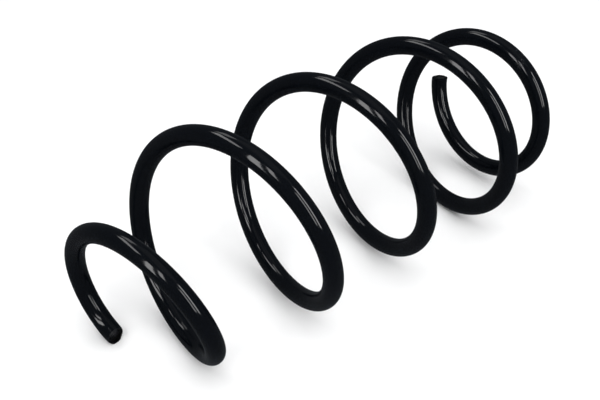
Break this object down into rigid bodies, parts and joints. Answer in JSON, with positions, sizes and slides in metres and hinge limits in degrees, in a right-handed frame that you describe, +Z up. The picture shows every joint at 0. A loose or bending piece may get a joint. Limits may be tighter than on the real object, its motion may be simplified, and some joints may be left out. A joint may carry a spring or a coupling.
{
  "type": "coil spring",
  "caption": "Side-load strut coil spring: one round steel bar wound right-handed on a bowed axis, ending in small off-centre pigtails.",
  "frame": {"origin": "on the ground under the middle of the spring, which lies on its resting side", "axes": "+X along the spring from its small lower pigtail to its upper end coil; +Z up; +Y completes a right-handed frame"},
  "size_m": [0.3628, 0.1517, 0.1558],
  "materials": {
    "black_coating": "gloss black powder coat over shot-peened spring steel"
  },
  "bodies": {
    "lower_end_coil": {"lower_tip": "black_coating", "lower_seat_a": "black_coating", "lower_seat_b": "black_coating", "lower_seat_c": "black_coating"},
    "lower_lift_a": {"lower_lift_a": "black_coating"},
    "lower_lift_b": {"lower_lift_b": "black_coating"},
    "coil_2_a": {"coil_2_a": "black_coating"},
    "coil_2_b": {"coil_2_b": "black_coating"},
    "coil_2_c": {"coil_2_c": "black_coating"},
    "coil_2_d": {"coil_2_d": "black_coating"},
    "coil_2_e": {"coil_2_e": "black_coating"},
    "coil_2_f": {"coil_2_f": "black_coating"},
    "coil_3_a": {"coil_3_a": "black_coating"},
    "coil_3_b": {"coil_3_b": "black_coating"},
    "coil_3_c": {"coil_3_c": "black_coating"},
    "coil_3_d": {"coil_3_d": "black_coating"},
    "coil_3_e": {"coil_3_e": "black_coating"},
    "coil_3_f": {"coil_3_f": "black_coating"},
    "coil_4_a": {"coil_4_a": "black_coating"},
    "coil_4_b": {"coil_4_b": "black_coating"},
    "coil_4_c": {"coil_4_c": "black_coating"},
    "coil_4_d": {"coil_4_d": "black_coating"},
    "coil_4_e": {"coil_4_e": "black_coating"},
    "coil_4_f": {"coil_4_f": "black_coating"},
    "upper_drop_a": {"upper_drop_a": "black_coating"},
    "upper_drop_b": {"upper_drop_b": "black_coating"},
    "upper_drop_c": {"upper_drop_c": "black_coating"},
    "upper_drop_d": {"upper_drop_d": "black_coating"},
    "upper_end_coil": {"upper_seat_c": "black_coating", "upper_seat_b": "black_coating", "upper_seat_a": "black_coating", "upper_tip": "black_coating"}
  },
  "joints": [
    {"name": "compression", "type": "slide", "parent": "lower_end_coil", "child": "upper_end_coil", "axis": [-0.9996, 0, 0.0297], "range_m": [0, 0.15], "stiffness_N_per_m": 30000},
    {"name": "twist_lower_lift_a", "type": "hinge", "parent": "lower_end_coil", "child": "lower_lift_a", "pos_m": [-0.15708, -0.03488, 0.07672], "axis": [-0.0304, 0.5422, 0.8397], "range_deg": [-0.5, 4.45]},
    {"name": "twist_lower_lift_b", "type": "hinge", "parent": "lower_lift_a", "child": "lower_lift_b", "pos_m": [-0.14359, -0.03496, 0.02745], "axis": [-0.0242, -0.5536, 0.8324], "range_deg": [-0.5, 4.77]},
    {"name": "twist_coil_2_a", "type": "hinge", "parent": "lower_lift_b", "child": "coil_2_a", "pos_m": [-0.13431, 0.01498, 0.00745], "axis": [-0.027, -0.9825, -0.1843], "range_deg": [-0.5, 4.08]},
    {"name": "twist_coil_2_b", "type": "hinge", "parent": "coil_2_a", "child": "coil_2_b", "pos_m": [-0.12734, 0.06253, 0.04878], "axis": [-0.0452, -0.3599, -0.9319], "range_deg": [-0.5, 4.75]},
    {"name": "twist_coil_2_c", "type": "hinge", "parent": "coil_2_b", "child": "coil_2_c", "pos_m": [-0.11708, 0.05487, 0.11693], "axis": [-0.0547, 0.5533, -0.8312], "range_deg": [-0.5, 6.44]},
    {"name": "twist_coil_2_d", "type": "hinge", "parent": "coil_2_c", "child": "coil_2_d", "pos_m": [-0.10224, -0.0049, 0.14846], "axis": [-0.0463, 0.9986, 0.0271], "range_deg": [-0.5, 7.19]},
    {"name": "twist_coil_2_e", "type": "hinge", "parent": "coil_2_d", "child": "coil_2_e", "pos_m": [-0.0856, -0.06086, 0.11358], "axis": [-0.0245, 0.4789, 0.8775], "range_deg": [-0.5, 5.79]},
    {"name": "twist_coil_2_f", "type": "hinge", "parent": "coil_2_e", "child": "coil_2_f", "pos_m": [-0.07089, -0.0597, 0.04696], "axis": [-0.0176, -0.5061, 0.8623], "range_deg": [-0.5, 4.55]},
    {"name": "twist_coil_3_a", "type": "hinge", "parent": "coil_2_f", "child": "coil_3_a", "pos_m": [-0.0581, -0.0019, 0.01286], "axis": [-0.0351, -0.9992, 0.0201], "range_deg": [-0.5, 5.35]},
    {"name": "twist_coil_3_b", "type": "hinge", "parent": "coil_3_a", "child": "coil_3_b", "pos_m": [-0.04482, 0.05748, 0.04409], "axis": [-0.0601, -0.5427, -0.8378], "range_deg": [-0.5, 7.03]},
    {"name": "twist_coil_3_c", "type": "hinge", "parent": "coil_3_b", "child": "coil_3_c", "pos_m": [-0.02958, 0.06189, 0.11073], "axis": [-0.0665, 0.4291, -0.9008], "range_deg": [-0.5, 7.15]},
    {"name": "twist_coil_3_d", "type": "hinge", "parent": "coil_3_c", "child": "coil_3_d", "pos_m": [-0.01372, 0.00726, 0.14898], "axis": [-0.0456, 0.9936, -0.1031], "range_deg": [-0.5, 5.5]},
    {"name": "twist_coil_3_e", "type": "hinge", "parent": "coil_3_d", "child": "coil_3_e", "pos_m": [0.00033, -0.05417, 0.12208], "axis": [-0.017, 0.6069, 0.7946], "range_deg": [-0.5, 4.49]},
    {"name": "twist_coil_3_f", "type": "hinge", "parent": "coil_3_e", "child": "coil_3_f", "pos_m": [0.01224, -0.06368, 0.05538], "axis": [-0.0104, -0.3586, 0.9334], "range_deg": [-0.5, 5.61]},
    {"name": "twist_coil_4_a", "type": "hinge", "parent": "coil_3_f", "child": "coil_4_a", "pos_m": [0.02465, -0.01223, 0.01214], "axis": [-0.0345, -0.9822, 0.1845], "range_deg": [-0.5, 7.25]},
    {"name": "twist_upper_drop_d", "type": "hinge", "parent": "upper_end_coil", "child": "upper_drop_d", "pos_m": [0.15651, -0.03283, 0.11267], "axis": [-0.0063, -0.7539, -0.657], "range_deg": [-0.5, 4.11]},
    {"name": "twist_upper_drop_c", "type": "hinge", "parent": "upper_drop_d", "child": "upper_drop_c", "pos_m": [0.15131, 0.02094, 0.12445], "axis": [0.0353, -0.9587, 0.2821], "range_deg": [-0.5, 4.5]},
    {"name": "twist_upper_drop_b", "type": "hinge", "parent": "upper_drop_c", "child": "upper_drop_b", "pos_m": [0.13853, 0.06151, 0.08018], "axis": [0.0724, -0.1894, 0.9792], "range_deg": [-0.5, 4.06]},
    {"name": "twist_upper_drop_a", "type": "hinge", "parent": "upper_drop_b", "child": "upper_drop_a", "pos_m": [0.12115, 0.03994, 0.02138], "axis": [0.0657, 0.7645, 0.6413], "range_deg": [-0.5, 4.8]},
    {"name": "twist_coil_4_f", "type": "hinge", "parent": "upper_drop_a", "child": "coil_4_f", "pos_m": [0.10608, -0.02402, 0.0104], "axis": [0.0278, 0.9428, -0.3322], "range_deg": [-0.5, 6.72]},
    {"name": "twist_coil_4_e", "type": "hinge", "parent": "coil_4_f", "child": "coil_4_e", "pos_m": [0.09591, -0.06793, 0.06089], "axis": [0.0011, 0.2086, -0.978], "range_deg": [-0.5, 7.33]},
    {"name": "twist_coil_4_d", "type": "hinge", "parent": "coil_4_e", "child": "coil_4_d", "pos_m": [0.08718, -0.04809, 0.1257], "axis": [0.0107, -0.7211, -0.6928], "range_deg": [-0.5, 5.8]},
    {"name": "twist_coil_4_c", "type": "hinge", "parent": "coil_4_d", "child": "coil_4_c", "pos_m": [0.07519, 0.01711, 0.14321], "axis": [0.047, -0.9675, 0.2483], "range_deg": [-0.5, 4.41]},
    {"name": "twist_coil_4_b", "type": "hinge", "parent": "coil_4_c", "child": "coil_4_b", "pos_m": [0.05847, 0.06542, 0.09749], "axis": [0.0743, -0.29, 0.9541], "range_deg": [-0.5, 5.21]}
  ],
  "couplings": [
    {"joint": "twist_lower_lift_a", "follows": "compression", "rad_per_m": 0.47964},
    {"joint": "twist_lower_lift_b", "follows": "compression", "rad_per_m": 0.5167},
    {"joint": "twist_coil_2_a", "follows": "compression", "rad_per_m": 0.43818},
    {"joint": "twist_coil_2_b", "follows": "compression", "rad_per_m": 0.51454},
    {"joint": "twist_coil_2_c", "follows": "compression", "rad_per_m": 0.70543},
    {"joint": "twist_coil_2_d", "follows": "compression", "rad_per_m": 0.7899},
    {"joint": "twist_coil_2_e", "follows": "compression", "rad_per_m": 0.63128},
    {"joint": "twist_coil_2_f", "follows": "compression", "rad_per_m": 0.49089},
    {"joint": "twist_coil_3_a", "follows": "compression", "rad_per_m": 0.58206},
    {"joint": "twist_coil_3_b", "follows": "compression", "rad_per_m": 0.77178},
    {"joint": "twist_coil_3_c", "follows": "compression", "rad_per_m": 0.78527},
    {"joint": "twist_coil_3_d", "follows": "compression", "rad_per_m": 0.59862},
    {"joint": "twist_coil_3_e", "follows": "compression", "rad_per_m": 0.48475},
    {"joint": "twist_coil_3_f", "follows": "compression", "rad_per_m": 0.61127},
    {"joint": "twist_coil_4_a", "follows": "compression", "rad_per_m": 0.79682},
    {"joint": "twist_upper_drop_d", "follows": "compression", "rad_per_m": 0.4419},
    {"joint": "twist_upper_drop_c", "follows": "compression", "rad_per_m": 0.4856},
    {"joint": "twist_upper_drop_b", "follows": "compression", "rad_per_m": 0.43572},
    {"joint": "twist_upper_drop_a", "follows": "compression", "rad_per_m": 0.51956},
    {"joint": "twist_coil_4_f", "follows": "compression", "rad_per_m": 0.73671},
    {"joint": "twist_coil_4_e", "follows": "compression", "rad_per_m": 0.80526},
    {"joint": "twist_coil_4_d", "follows": "compression", "rad_per_m": 0.63222},
    {"joint": "twist_coil_4_c", "follows": "compression", "rad_per_m": 0.4754},
    {"joint": "twist_coil_4_b", "follows": "compression", "rad_per_m": 0.56619}
  ]
}
